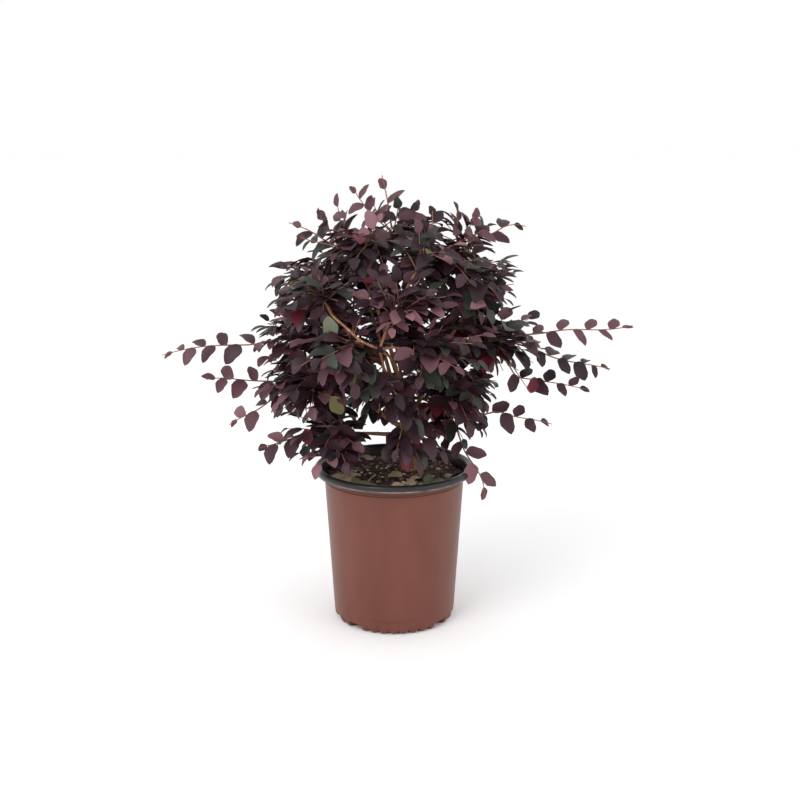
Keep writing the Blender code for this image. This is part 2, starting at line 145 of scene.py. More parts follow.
def sweptTube(path, radii, sides, points, faces, relief=0.0, reliefScale=1.0):
    # a closed tube along path, added to the running lists; relief roughens it like bark
    first = len(points)
    across = Vector((1, 0, 0))
    for index, (point, radius) in enumerate(zip(path, radii)):
        before = path[max(index - 1, 0)]
        after = path[min(index + 1, len(path) - 1)]
        way = (after - before).normalized()
        if abs(way.dot(across)) > 0.95:  # nearly along the tube, so another start is taken
            across = Vector((0, 1, 0))
        across = (across - way * across.dot(way)).normalized()
        upward = way.cross(across)
        for step in range(sides):
            turn = math.tau * step / sides
            out = across * math.cos(turn) + upward * math.sin(turn)
            spot = point + out * radius
            if relief:
                ridge = noise.noise(Vector((spot.x * 3, spot.y * 3, spot.z)) * reliefScale)
                spot = spot + out * relief * ridge
            points.append(spot)
    for ring in range(len(path) - 1):
        for step in range(sides):
            after = (step + 1) % sides
            low = first + ring * sides
            faces.append((low + step, low + after, low + sides + after, low + sides + step))
    faces.append(tuple(first + step for step in reversed(range(sides))))
    last = first + (len(path) - 1) * sides
    faces.append(tuple(last + step for step in range(sides)))


def bend(start, control, end, count):
    line = []
    for step in range(count):
        share = step / (count - 1)
        rest = 1 - share
        line.append(start * rest * rest + control * 2 * rest * share + end * share * share)
    return line


def taper(root, tip, count):
    return [root + (tip - root) * step / (count - 1) for step in range(count)]


def turnFrom(turn, centre):
    # the signed angle in degrees from centre to turn
    return (turn - centre + 180) % 360 - 180


# the pot: brown outside, black on the rolled rim and inside
# finishes are: name, dark and light colour, roughness, size of the noise, height of the relief
pot = {
    "stepsPerDegree": 1.0,
    "rimRadius": 0.1140,
    "rimHeight": 0.2265,
    "rollHalfWidth": 0.0052,
    "rollHalfHeight": 0.0050,
    "rollTurns": range(-35, 181, 15),
    "lipDrop": 0.0004,
    "lipSeat": 0.0020,
    "lipEdgeIn": 0.0014,
    "lipEdgeUp": 0.0002,
    "bodyTopRadius": 0.1003,
    "bodyBaseRadius": 0.0875,
    "bodyHeights": (0.040, 0.070, 0.100, 0.140, 0.180),
    "lowRingStart": 0.012,
    "lowRingGap": 0.0013,
    "lowRings": 14,
    "footRadius": 0.0815,
    "footEdge": 0.0030,
    "cornerHeight": 0.0100,
    "cornerSteps": 6,
    "wall": 0.0020,
    "insideTop": 0.205,
    "floorTop": 0.0115,
    "grooveHeight": 0.2080,
    "grooveDepth": 0.0011,
    "grooveHalf": 0.0012,
    "grooveSteps": ((-2, 0), (-1, 1), (1, 1), (2, -1)),
    "stepAzimuth": -95.0,
    "stepHalfAngle": 27.0,
    "stepHeight": 0.0195,
    "stepRise": 0.0050,
    "stepDepth": 0.0019,
    "stepEdge": 0.0013,
    "stepFade": 0.014,
    "notchHeight": 0.0090,
    "notchDepth": 0.0200,
    "notchAngle": 15.0,
    "notchClear": 0.4,
    "notchEdge": 0.1,
    "narrowFootAngle": 17.0,
    "frontFootAzimuth": -85.4,
    "footSets": 3,
    "scallopAngle": 10.0,
    "scallopDepth": 0.0034,
    "scallopHeight": 0.0130,
    "scallopLift": 1.2,
    "scallopPower": 0.6,
    "brown": ("terracotta_brown_plastic", (0.126, 0.038, 0.0245), (0.166, 0.052, 0.0335),
              0.40, 26, 0.0002),
    "brownStretch": (1, 1, 0.35),
    "brownSpecular": 0.3,
    "black": ("black_rim_plastic", (0.010, 0.009, 0.010), (0.024, 0.022, 0.023), 0.28, 90, 0.0001),
    "blackSpecular": 0.35,
    "worn": ("worn_lip_edge", (0.010, 0.009, 0.010), (0.300, 0.205, 0.180), 0.5, 60, 0.0002),
    "sharpAngle": 30,
}


def potRadius(height):
    top = pot["rimHeight"] - 2 * pot["rollHalfHeight"]
    share = (height - pot["cornerHeight"]) / (top - pot["cornerHeight"])
    return pot["bodyBaseRadius"] + (pot["bodyTopRadius"] - pot["bodyBaseRadius"]) * share


def potOutline():
    # radius, height and colour of the stretch that starts there: 0 brown, 1 black, 2 worn
    foot = pot["footRadius"]
    corner = pot["cornerHeight"]
    outline = [(0.0, 0.0, 0), (foot - pot["notchDepth"], 0.0, 0), (foot - pot["footEdge"], 0.0, 0)]
    for step in range(pot["cornerSteps"] + 1):
        turn = math.radians(90 * step / pot["cornerSteps"])
        outline.append((foot + (pot["bodyBaseRadius"] - foot) * math.sin(turn),
                        corner * (1 - math.cos(turn)), 0))
    lowHeights = [pot["lowRingStart"] + pot["lowRingGap"] * step for step in range(pot["lowRings"])]
    for height in (*lowHeights, *pot["bodyHeights"]):
        outline.append((potRadius(height), height, 0))
    for side, depth in pot["grooveSteps"]:
        height = pot["grooveHeight"] + side * pot["grooveHalf"]
        outline.append((potRadius(height) - depth * pot["grooveDepth"], height, 0))
    underside = pot["rimHeight"] - 2 * pot["rollHalfHeight"]
    middle = pot["rimRadius"] - pot["rollHalfWidth"]
    level = pot["rimHeight"] - pot["rollHalfHeight"]
    outline.append((pot["bodyTopRadius"] + pot["grooveDepth"], underside - pot["lipDrop"], 1))
    outline.append((middle + pot["lipSeat"], underside - pot["lipDrop"], 1))
    outline.append((pot["rimRadius"] - pot["lipEdgeIn"], underside + pot["lipEdgeUp"], 2))
    for degrees in pot["rollTurns"]:
        turn = math.radians(degrees)
        outline.append((middle + pot["rollHalfWidth"] * math.cos(turn),
                        level + pot["rollHalfHeight"] * math.sin(turn), 1))
    outline.append((potRadius(pot["insideTop"]) - pot["wall"], pot["insideTop"], 1))
    outline.append((potRadius(pot["floorTop"]) - pot["wall"], pot["floorTop"], 1))
    outline.append((0.0, pot["floorTop"], 1))
    return outline


def frontStep(turn, height):
    # the shallow crescent pressed into the front, deepest just under its curved upper edge
    side = turnFrom(turn, pot["stepAzimuth"]) / pot["stepHalfAngle"]
    if abs(side) >= 1:
        return 0.0
    below = pot["stepHeight"] + pot["stepRise"] * side * side - height
    if below <= 0:
        return 0.0
    rise = min(1.0, below / pot["stepEdge"])
    fade = max(0.0, 1 - below / pot["stepFade"])
    return pot["stepDepth"] * rise * fade * (1 - abs(side) ** 3)


def notchCentres():
    pitch = 360 / pot["footSets"]
    offset = (pot["narrowFootAngle"] + pot["notchAngle"]) / 2
    for foot in range(pot["footSets"]):
        narrow = pot["frontFootAzimuth"] + pitch * (foot + 0.5)
        yield narrow - offset
        yield narrow + offset


def potTurns(centres):
    # the degrees around the pot, with a pair of them closing in on each notch's side
    turns = [step / pot["stepsPerDegree"] for step in range(int(360 * pot["stepsPerDegree"]))]
    for centre in centres:
        for side in (-1, 1):
            edge = (centre + side * pot["notchAngle"] / 2) % 360
            turns = [turn for turn in turns if abs(turn - edge) > pot["notchClear"]]
            turns += [edge - pot["notchEdge"], edge + pot["notchEdge"]]
    return sorted(turns)


def potSpot(radius, height, turn, centres):
    # one point of the outline at one turn, with crescent, scallops and notches
    half = pot["notchAngle"] / 2
    newRadius = radius - frontStep(turn, height) * (radius > pot["bodyBaseRadius"] - 0.0001)
    newHeight = height
    if height < pot["scallopHeight"] and radius > pot["footRadius"] - 0.0005:
        swing = math.sin(math.pi * (turn - pot["frontFootAzimuth"]) / pot["scallopAngle"])
        wave = abs(swing) ** pot["scallopPower"]
        fade = 1 - height / pot["scallopHeight"]
        newRadius -= pot["scallopDepth"] * (1 - wave) * fade
        newHeight += pot["scallopLift"] * pot["scallopDepth"] * (1 - wave) * fade
    inNotch = any(abs(turnFrom(turn, centre)) < half for centre in centres)
    underFoot = pot["footRadius"] - pot["notchDepth"] / 2 < radius and height < pot["notchHeight"]
    if inNotch and underFoot:
        newHeight = pot["notchHeight"]
    angle = math.radians(turn)
    return newRadius * math.cos(angle), newRadius * math.sin(angle), newHeight


def buildPot():
    centres = list(notchCentres())
    turns = potTurns(centres)
    outline = potOutline()
    points = []
    rings = []
    for radius, height, _ in outline:
        if radius == 0:
            rings.append([len(points)])
            points.append((0, 0, height))
            continue
        rings.append(list(range(len(points), len(points) + len(turns))))
        points += [potSpot(radius, height, turn, centres) for turn in turns]
    faces = []
    colours = []
    count = len(turns)
    for (lower, upper), (_, _, colour) in zip(zip(rings, rings[1:]), outline):
        for step in range(count):
            after = (step + 1) % count
            if len(lower) == 1:
                faces.append((lower[0], upper[after], upper[step]))
            elif len(upper) == 1:
                faces.append((lower[step], lower[after], upper[0]))
            else:
                faces.append((lower[step], lower[after], upper[after], upper[step]))
            colours.append(colour)
    brown = mottledMaterial(*pot["brown"], pot["brownStretch"], pot["brownSpecular"])
    black = mottledMaterial(*pot["black"], specular=pot["blackSpecular"])
    worn = mottledMaterial(*pot["worn"])
    piece = addPiece("potShell", points, faces, [brown, black, worn],
                     colours, pot["sharpAngle"])
    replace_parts(piece, "nursery_pot")


buildPot()
print("pot built")

# the bark mix in the pot, with chips, pale grains and a dead stick on it
soil = {
    "seed": 5,
    "top": 0.2140,
    "radius": 0.0972,
    "rings": 44,
    "spokes": 150,
    "bottomShare": 0.84,
    "bottomHeight": 0.0125,
    "sink": 0.0010,
    "edgeFrom": 0.7,
    "edgeSlope": 0.006,
    "lumpHeight": 0.0018,
    "lumpEase": 0.6,
    "coarseLumps": 55,
    "fineLumps": 160,
    "fineShare": 0.6,
    "sharpAngle": 60,
    "mix": ("moist_bark_mix", (0.016, 0.010, 0.008), (0.085, 0.048, 0.032), 0.9, 180, 0.0012),
}
chips = {
    "count": 760,
    "size": (0.0025, 0.0075),
    "reach": 0.97,
    "lift": 0.08,
    "lengthShare": 0.5,
    "widthShare": 0.3,
    "heightShare": 0.2,
    "slope": 0.3,
    "shake": (0.6, 1.1),
    "sharpAngle": 20,
    "mixture": (0, 0, 1, 1, 2),
    "finishes": (
        ("dark_bark_chip", (0.018, 0.011, 0.009), (0.06, 0.034, 0.024), 0.9, 300, 0.0004),
        ("brown_bark_chip", (0.09, 0.04, 0.025), (0.22, 0.10, 0.06), 0.85, 300, 0.0004),
        ("pale_bark_chip", (0.24, 0.13, 0.085), (0.46, 0.29, 0.20), 0.8, 300, 0.0004),
    ),
}
grains = {
    "count": 130,
    "size": (0.0010, 0.0024),
    "spot": (0.018, -0.072),
    "spotSpread": (0.014, 0.009),
    "reach": 0.95,
    "lift": 0.3,
    "stretch": 1.2,
    "finish": ("white_perlite", (0.55, 0.53, 0.50), (0.85, 0.84, 0.81), 0.9, 500, 0.0003),
}
stick = {
    "low": (-0.038, -0.062, 0.0012),
    "high": (-0.026, -0.040, 0.0075),
    "arch": 0.002,
    "radius": 0.0011,
    "rings": 7,
    "sides": 7,
    "finish": ("dry_straw_stick", (0.32, 0.22, 0.13), (0.55, 0.43, 0.28), 0.8, 200, 0.0003),
}


def soilHeight(x, y):
    coarse = noise.noise(Vector((x, y, 0)) * soil["coarseLumps"])
    lump = coarse + soil["fineShare"] * noise.noise(Vector((x, y, 3)) * soil["fineLumps"])
    edge = max(0.0, math.hypot(x, y) / soil["radius"] - soil["edgeFrom"])
    return (soil["top"] - soil["sink"] - soil["edgeSlope"] * edge
            + soil["lumpHeight"] * lump * soil["lumpEase"])


def soilSpot(draws, reach):
    # an even draw over the round of the soil
    radius = soil["radius"] * reach * math.sqrt(draws.random())
    turn = draws.uniform(0, math.tau)
    return radius * math.cos(turn), radius * math.sin(turn)


def chipMesh(centre, size, draws, points, faces):
    # an irregular six-sided lump, longer than wide
    first = len(points)
    turn = draws.uniform(0, math.tau)
    slope = draws.uniform(-chips["slope"], chips["slope"])
    along = Vector((math.cos(turn), math.sin(turn), slope)).normalized()
    wide = along.cross(Vector((0, 0, 1))).normalized()
    tall = wide.cross(along)
    for end in (-1, 1):
        for side, level in ((-1, -1), (1, -1), (1, 1), (-1, 1)):
            shake = [draws.uniform(*chips["shake"]) for _ in range(3)]
            points.append(centre + along * end * size * chips["lengthShare"] * shake[0]
                          + wide * side * size * chips["widthShare"] * shake[1]
                          + tall * level * size * chips["heightShare"] * shake[2])
    faces.append((first, first + 3, first + 2, first + 1))
    faces.append((first + 4, first + 5, first + 6, first + 7))
    for step in range(4):
        after = (step + 1) % 4
        faces.append((first + step, first + after, first + 4 + after, first + 4 + step))


def buildBed():
    spokes = soil["spokes"]
    turns = [math.tau * spoke / spokes for spoke in range(spokes)]
    points = [(0, 0, soilHeight(0, 0))]
    for ring in range(1, soil["rings"] + 1):
        radius = soil["radius"] * ring / soil["rings"]
        for turn in turns:
            x, y = radius * math.cos(turn), radius * math.sin(turn)
            points.append((x, y, soilHeight(x, y)))
    bottom = len(points)
    for turn in turns:
        points.append((soil["bottomShare"] * soil["radius"] * math.cos(turn),
                       soil["bottomShare"] * soil["radius"] * math.sin(turn), soil["bottomHeight"]))
    faces = []
    edge = 1 + (soil["rings"] - 1) * spokes
    for spoke in range(spokes):
        after = (spoke + 1) % spokes
        faces.append((0, 1 + spoke, 1 + after))
        for ring in range(soil["rings"] - 1):
            low = 1 + ring * spokes
            faces.append((low + spoke, low + spokes + spoke, low + spokes + after, low + after))
        faces.append((edge + spoke, bottom + spoke, bottom + after, edge + after))
    faces.append(tuple(bottom + spoke for spoke in reversed(range(spokes))))
    bed = addPiece("soilBed", points, faces, [mottledMaterial(*soil["mix"])],
                   None, soil["sharpAngle"])
    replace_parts(bed, "soil")


def buildChips(draws):
    points, faces, kinds = [], [], []
    for _ in range(chips["count"]):
        x, y = soilSpot(draws, chips["reach"])
        size = draws.uniform(*chips["size"])
        chipMesh(Vector((x, y, soilHeight(x, y) + size * chips["lift"])), size, draws, points, faces)
        kinds += [draws.choice(chips["mixture"])] * 6
    finishes = [mottledMaterial(*finish) for finish in chips["finishes"]]
    addPiece("barkChips", points, faces, finishes, kinds, chips["sharpAngle"])


def buildGrains(draws):
    # every second grain lies in the pale patch at the front
    points, faces = [], []
    for index in range(grains["count"]):
        if index % 2:
            x = grains["spot"][0] + draws.gauss(0, grains["spotSpread"][0])
            y = grains["spot"][1] + draws.gauss(0, grains["spotSpread"][1])
        else:
            x, y = soilSpot(draws, grains["reach"])
        size = 2 * draws.uniform(*grains["size"])
        centre = Vector((x, y, soilHeight(x, y) + size * grains["lift"]))
        chipMesh(centre, size * grains["stretch"], draws, points, faces)
    addPiece("perliteGrains", points, faces, [mottledMaterial(*grains["finish"])],
             None, chips["sharpAngle"])


def buildStick():
    points, faces = [], []
    low = Vector((stick["low"][0], stick["low"][1], soil["top"] + stick["low"][2]))
    high = Vector((stick["high"][0], stick["high"][1], soil["top"] + stick["high"][2]))
    path = bend(low, (low + high) / 2 + Vector((0, 0, stick["arch"])), high, stick["rings"])
    sweptTube(path, [stick["radius"]] * stick["rings"], stick["sides"], points, faces)
    addPiece("deadStick", points, faces, [mottledMaterial(*stick["finish"])])


soilDraws = random.Random(soil["seed"])
buildBed()
buildChips(soilDraws)
buildGrains(soilDraws)
buildStick()
print("soil built")

# trunk and boughs, on the centre lines of their solids
wood = {
    "sides": 20,
    "ringGap": 0.0030,
    "trunkRelief": 0.0010,
    "boughRelief": 0.0004,
    "boughRootRadius": 0.0042,
    "boughTipRadius": 0.0017,
    "boughRing": 8,
    "boughSink": 0.3,
    "slenderBough": "bough_front_left_bare",
    "slenderShare": 0.62,
    "reliefScale": 230.0,
    "smoothings": 3,
    "footBand": 0.0005,
    "levelBand": 0.0003,
    "heightWeight": 0.3,
    "trunkBark": ("rough_brown_bark", (0.07, 0.035, 0.022), (0.36, 0.19, 0.11), 0.85, 160, 0.0012),
    "trunkStretch": (1, 1, 0.3),
    "boughBark": ("orange_brown_bark", (0.13, 0.055, 0.028), (0.48, 0.22, 0.10), 0.7, 140, 0.0006),
    "boughStretch": (1, 1, 0.4),
}


def uniquePoints(name):
    seen = {}
    for vertex in nodes[name].data.vertices:
        place = nodes[name].matrix_world @ vertex.co
        seen[tuple(round(value, 5) for value in place)] = place
    return list(seen.values())


def middleOf(spots):
    return sum(spots, Vector()) / len(spots)


def centreLine(name, start):
    # the middles of a limb's rings, from the ring next to start to the far end
    spots = sorted(uniquePoints(name), key=lambda spot: (spot - start).length)
    perRing = wood["boughRing"]
    return [middleOf(spots[index:index + perRing])
            for index in range(0, len(spots) - perRing + 1, perRing)]


def denser(line, radii, gap):
    path, widths = [line[0]], [radii[0]]
    for index in range(len(line) - 1):
        steps = max(1, round((line[index + 1] - line[index]).length / gap))
        for step in range(1, steps + 1):
            path.append(line[index].lerp(line[index + 1], step / steps))
            widths.append(radii[index] + (radii[index + 1] - radii[index]) * step / steps)
    for _ in range(wood["smoothings"]):
        inner = [(path[i - 1] + path[i] * 2 + path[i + 1]) / 4 for i in range(1, len(path) - 1)]
        path = [path[0], *inner, path[-1]]
    return path, widths


def buildTrunk():
    # returns the trunk's line and the middle of its foot
    spots = uniquePoints("trunk")
    footHeight = min(spot.z for spot in spots)
    foot = middleOf([spot for spot in spots if spot.z < footHeight + wood["footBand"]])
    line, radii = [], []
    for level in sorted({round(spot.z, 4) for spot in spots}):
        ring = [spot for spot in spots if abs(spot.z - level) < wood["levelBand"]]
        centre = middleOf(ring)
        line.append(centre)
        radii.append(sum((spot - centre).length for spot in ring) / len(ring))
    points, faces = [], []
    path, widths = denser(line, radii, wood["ringGap"] / 2)
    sweptTube(path, widths, wood["sides"] * 2, points, faces, wood["trunkRelief"],
              wood["reliefScale"])
    bark = mottledMaterial(*wood["trunkBark"], wood["trunkStretch"])
    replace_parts(addPiece("trunkWood", points, faces, [bark]), "trunk")
    return path, foot


def buildBoughs(trunkPath, foot):
    # returns the line of each bough
    limbs = {}
    points, faces = [], []
    for name in boughNodes:
        start = min(uniquePoints(name), key=lambda spot: (
            Vector((spot.x, spot.y, 0)) - Vector((foot.x, foot.y, 0))).length
            + wood["heightWeight"] * spot.z)
        limbs[name] = centreLine(name, start)
        nearest = min(trunkPath, key=lambda spot: (spot - limbs[name][0]).length)
        line = [nearest.lerp(limbs[name][0], wood["boughSink"]), *limbs[name]]
        change = (wood["boughTipRadius"] - wood["boughRootRadius"]) / (len(line) - 1)
        share = wood["slenderShare"] if name == wood["slenderBough"] else 1.0
        radii = [share * (wood["boughRootRadius"] + change * index) for index in range(len(line))]
        path, widths = denser(line, radii, wood["ringGap"])
        sweptTube(path, widths, wood["sides"], points, faces, wood["boughRelief"],
                  wood["reliefScale"])
    bark = mottledMaterial(*wood["boughBark"], wood["boughStretch"])
    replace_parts(addPiece("boughWood", points, faces, [bark]), *boughNodes)
    return limbs


limbLines = buildBoughs(*buildTrunk())
print("wood built")

# the crown: twigs grow from the boughs into each mass and carry the leaves
crown = {
    "seed": 14,
    "twigsPerArea": 1150.0,
    "fewestTwigs": 7,
    "tries": 8,
    "tipReach": (0.62, 0.98),
    "twigStart": (0.45, 1.0),
    "twigArch": (0.0, 0.18),
    "twigBend": 0.45,
    "twigRings": 8,
    "twigSides": 5,
    "twigRadius": 0.0011,
    "twigTipRadius": 0.0005,
    "branchRings": 9,
    "branchSides": 7,
    "branchArch": 0.15,
    "hubRadius": 0.0021,
    "hubTaper": 0.4,
    "leafLength": (0.025, 0.040),
    "leafSpacing": 0.0118,
    "bareShare": 0.28,
}

# painted light on a twig, which picks paler leaf colours: it grows outwards, upwards and towards the
# left of the photograph, where the key lamp stands
paintedLightFall = {"radius": 0.20, "outward": 0.55, "upward": 1.6, "from": 0.36, "sideways": 1.2}

# one leaf, and how it stands on its twig
leaf = {
    "widthShare": (0.56, 0.70),
    "fold": math.radians(16),
    "thickness": 0.0004,
    "stations": (0.07, 0.20, 0.36, 0.54, 0.72, 0.88),
    "widths": (0.46, 0.84, 1.00, 0.96, 0.77, 0.46),
    "skew": 0.12,
    "skewTurns": 9,
    "angle": (0.75, 1.15),
    "endAngle": 0.15,
    "lift": (-0.38, 0.28),
    "faceUp": 0.75,
    "faceOut": (0.3, 1.3),
    "outwardRise": 0.15,
    "shake": 0.35,
    "droop": (0.20, 0.80),
    "youngFrom": 0.70,
    "youngOver": 0.30,
    "youngLoss": 0.40,
    "sameKind": 0.72,
    "upperRoughness": 0.48,
    "upperSpecular": 0.28,
    "underRoughness": 0.62,
    "sharpAngle": 35,
    "bark": ("young_red_brown_twig", (0.12, 0.045, 0.025), (0.36, 0.16, 0.085), 0.6, 120, 0.0002),
}

# colours: upper side, underside, share on shaded twigs, share on lit twigs; the two shares paint light
# and shade into the leaves, with the paler kinds going to lit twigs
leafKinds = {
    "darkPlum": ((0.024, 0.010, 0.015), (0.072, 0.036, 0.045), 0.42, 0.28),
    "plum": ((0.050, 0.019, 0.027), (0.112, 0.054, 0.066), 0.24, 0.31),
    "mauve": ((0.112, 0.048, 0.060), (0.180, 0.096, 0.110), 0.06, 0.20),
    "roseMauve": ((0.215, 0.098, 0.116), (0.270, 0.150, 0.168), 0.02, 0.08),
    "greyGreen": ((0.034, 0.038, 0.030), (0.080, 0.076, 0.068), 0.24, 0.09),
    "wineRed": ((0.115, 0.010, 0.020), (0.160, 0.030, 0.045), 0.02, 0.03),
    "oliveYellow": ((0.105, 0.092, 0.032), (0.145, 0.130, 0.065), 0.02, 0.00),
}
# leaves placed one by one only: upper side, underside
placedKinds = {
    "dryTan": ((0.500, 0.360, 0.235), (0.560, 0.430, 0.300)),
    "dryOlive": ((0.230, 0.205, 0.115), (0.330, 0.300, 0.190)),
    "paleGreen": ((0.150, 0.170, 0.110), (0.220, 0.240, 0.165)),
}

# openings that show sky in the photograph, as left, top, right and bottom pixels
skyWindows = (
    (494, 364, 541, 400), (210, 346, 262, 368), (372, 206, 402, 236), (365, 418, 388, 441),
    (348, 198, 371, 229), (455, 224, 479, 242), (549, 345, 584, 362), (280, 414, 308, 430),
    (244, 313, 262, 323), (243, 334, 257, 342), (451, 414, 465, 434), (506, 277, 524, 290),
)

leafData = {name: ([], [], []) for name in (*leafKinds, *placedKinds)}
twigPoints, twigFaces = [], []
draws = random.Random(crown["seed"])


def addLeaf(kind, base, axis, normal, length, width, droop):
    # a closed, folded and drooping leaf; each station has a left edge, rib, right edge and underside
    points, faces, sides = leafData[kind]
    axis = axis.normalized()
    normal = (normal - axis * normal.dot(axis)).normalized()
    side = normal.cross(axis)
    first = len(points)
    lift = math.sin(leaf["fold"])
    reach = math.cos(leaf["fold"])

    def spine(share):
        turn = droop * share
        return (base + axis * (length * math.sin(turn) / droop)
                - normal * (length * (1 - math.cos(turn)) / droop))

    points.append(base)
    for share, broad in zip(leaf["stations"], leaf["widths"]):
        centre = spine(share)
        up = (normal * math.cos(droop * share) + axis * math.sin(droop * share)).normalized()
        half = 0.5 * width * broad
        skew = 1.0 + leaf["skew"] * math.sin(leaf["skewTurns"] * share)
        points.append(centre + side * half * reach * skew + up * half * lift)
        points.append(centre)
        points.append(centre - side * half * reach / skew + up * half * lift)
        points.append(centre - up * leaf["thickness"])
    points.append(spine(1.0))
    tip = first + 1 + 4 * len(leaf["stations"])
    left, rib, right, under = first + 1, first + 2, first + 3, first + 4
    faces += [(first, left, rib), (first, rib, right), (first, under, left), (first, right, under)]
    for low in range(left, tip - 4, 4):
        high = low + 4
        faces += [(low, high, high + 1, low + 1), (low + 1, high + 1, high + 2, low + 2),
                  (low, low + 3, high + 3, high), (low + 3, low + 2, high + 2, high + 3)]
    low = tip - 4
    faces += [(low, tip, low + 1), (low + 1, tip, low + 2),
              (low, low + 3, tip), (low + 3, low + 2, tip)]
    sides += [0, 0, 1, 1] * (len(leaf["stations"]) + 1)


def pickKind(light):
    # light runs from 0 in the shade to 1 on the outside, and past 1 on the palest sprays; it is painted
    # light and shade, and picks paler kinds where it is higher
    weights = [max(0.0, shade + (lit - shade) * light) for _, _, shade, lit in leafKinds.values()]
    return draws.choices(list(leafKinds), weights)[0]


def seenAsSky(point):
    x, y = photoPixel(point)
    return any(left < x < right and top < y < bottom for left, top, right, bottom in skyWindows)


def leafTwig(path, light, lengths, bare, spacing, facing=None):
    # leaves stand alternately left and right of the twig and one ends it
    total = sum((after - before).length for before, after in zip(path, path[1:]))
    count = max(2, round(total * (1 - bare) / spacing))
    kind = pickKind(light)
    hand = draws.choice((-1, 1))
    for index in range(count + 1):
        share = bare + (1 - bare) * index / count
        spot = share * (len(path) - 1)
        low = min(int(spot), len(path) - 2)
        base = path[low].lerp(path[low + 1], spot - low)
        way = (path[low + 1] - path[low]).normalized()
        outward = Vector((base.x, base.y, leaf["outwardRise"])).normalized()
        side = way.cross(Vector((0, 0, leaf["faceUp"])) + (facing or Vector((0, 0, 0))))
        side = side.normalized() if side.length > 0.1 else Vector((1, 0, 0))
        hand = -hand
        angle = leaf["endAngle"] if index == count else draws.uniform(*leaf["angle"])
        axis = way * math.cos(angle) + side * hand * math.sin(angle)
        axis.z += draws.uniform(*leaf["lift"])
        normal = (Vector((0, 0, 1)) * leaf["faceUp"]
                  + (facing or outward * draws.uniform(*leaf["faceOut"]))
                  + Vector([draws.uniform(-leaf["shake"], leaf["shake"]) for _ in range(3)]))
        young = 1.0 - leaf["youngLoss"] * max(0.0, share - leaf["youngFrom"]) / leaf["youngOver"]
        length = draws.uniform(*lengths) * young
        width = length * draws.uniform(*leaf["widthShare"])
        droop = draws.uniform(*leaf["droop"])
        leafKind = kind if draws.random() < leaf["sameKind"] else pickKind(light)
        if not facing and seenAsSky(base + axis.normalized() * length * 0.5):
            continue
        addLeaf(leafKind, base, axis, normal, length, width, droop)


def addTwig(path):
    radii = taper(crown["twigRadius"], crown["twigTipRadius"], crown["twigRings"])
    sweptTube(path, radii, crown["twigSides"], twigPoints, twigFaces)


def farTip(tree, hub, tips):
    # of a few draws inside the mass, the tip that is farthest from those taken
    best, bestGap = None, -1.0
    for _ in range(crown["tries"]):
        way = Vector([draws.gauss(0, 1) for _ in range(3)]).normalized()
        hit = tree.ray_cast(hub + way * 0.001, way)[0]
        if hit is None:
            continue
        tip = hub.lerp(hit, draws.uniform(*crown["tipReach"]))
        gap = min(((tip - other).length for other in tips), default=1.0)
        if gap > bestGap:
            best, bestGap = tip, gap
    return best


def growMass(name, hub, branch):
    mesh = nodes[name].data
    tree = BVHTree.FromPolygons([nodes[name].matrix_world @ vertex.co for vertex in mesh.vertices],
                                [tuple(face.vertices) for face in mesh.polygons])
    low, high = (Vector(corner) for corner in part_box(name))
    size = high - low
    area = size.x * size.y + size.y * size.z + size.z * size.x
    tips = []
    for _ in range(max(crown["fewestTwigs"], round(area * crown["twigsPerArea"] / 2))):
        tip = farTip(tree, hub, tips)
        if tip is None:
            continue
        tips.append(tip)
        start = branch[int(draws.uniform(*crown["twigStart"]) * (len(branch) - 1))]
        arch = (tip - start).length * draws.uniform(*crown["twigArch"])
        control = start.lerp(tip, crown["twigBend"]) + Vector((0, 0, arch))
        path = bend(start, control, tip, crown["twigRings"])
        addTwig(path)
        # how lit the twig is, painted into its leaves' colours as light and shade
        outward = Vector((tip.x, tip.y, 0)).length / paintedLightFall["radius"]
        light = (paintedLightFall["outward"] * outward + paintedLightFall["upward"] * (tip.z - paintedLightFall["from"])
                 - paintedLightFall["sideways"] * tip.x)
        leafTwig(path, min(1.0, max(0.0, light)), crown["leafLength"], crown["bareShare"],
                 crown["leafSpacing"])


def growCrown():
    # each mass hangs on the nearest limb or on a mass that already grows
    centres = {name: middleOf(uniquePoints(name)) for name in massNodes}
    grown = [point for line in limbLines.values() for point in line[len(line) // 2:]]
    waiting = dict(centres)
    while waiting:
        name, start = min(((name, spot) for name in waiting for spot in grown),
                          key=lambda pair: (waiting[pair[0]] - pair[1]).length)
        hub = waiting.pop(name)
        arch = (hub - start).length * crown["branchArch"]
        rings = crown["branchRings"]
        branch = bend(start, start.lerp(hub, 0.5) + Vector((0, 0, arch)), hub, rings)
        radii = [crown["hubRadius"] * (1 - crown["hubTaper"] * ring / (rings - 1))
                 for ring in range(rings)]
        sweptTube(branch, radii, crown["branchSides"], twigPoints, twigFaces)
        grown.append(hub)
        growMass(name, hub, branch)
    return centres


def nearestHub(point):
    return min(hubs.values(), key=lambda spot: (spot - point).length)


hubs = growCrown()
pointsPerLeaf = 4 * len(leaf["stations"]) + 2
print("crown grown:", sum(len(data[0]) for data in leafData.values()) // pointsPerLeaf, "leaves")

# sprays that stand out of the crown, each along its own solid
sprays = {
    "leafLength": (0.024, 0.035),
    "spacing": 0.0165,
    "bareShare": 0.22,
    "facing": Vector((0, -0.75, 0)),
    "rootRadius": 0.0013,
    "tipRadius": 0.0006,
    "sides": 6,
    "ringGap": 0.008,
    "sink": 0.3,
    # painted light: past 1, so the sprays take the palest leaf colours
    "light": 1.5,
}


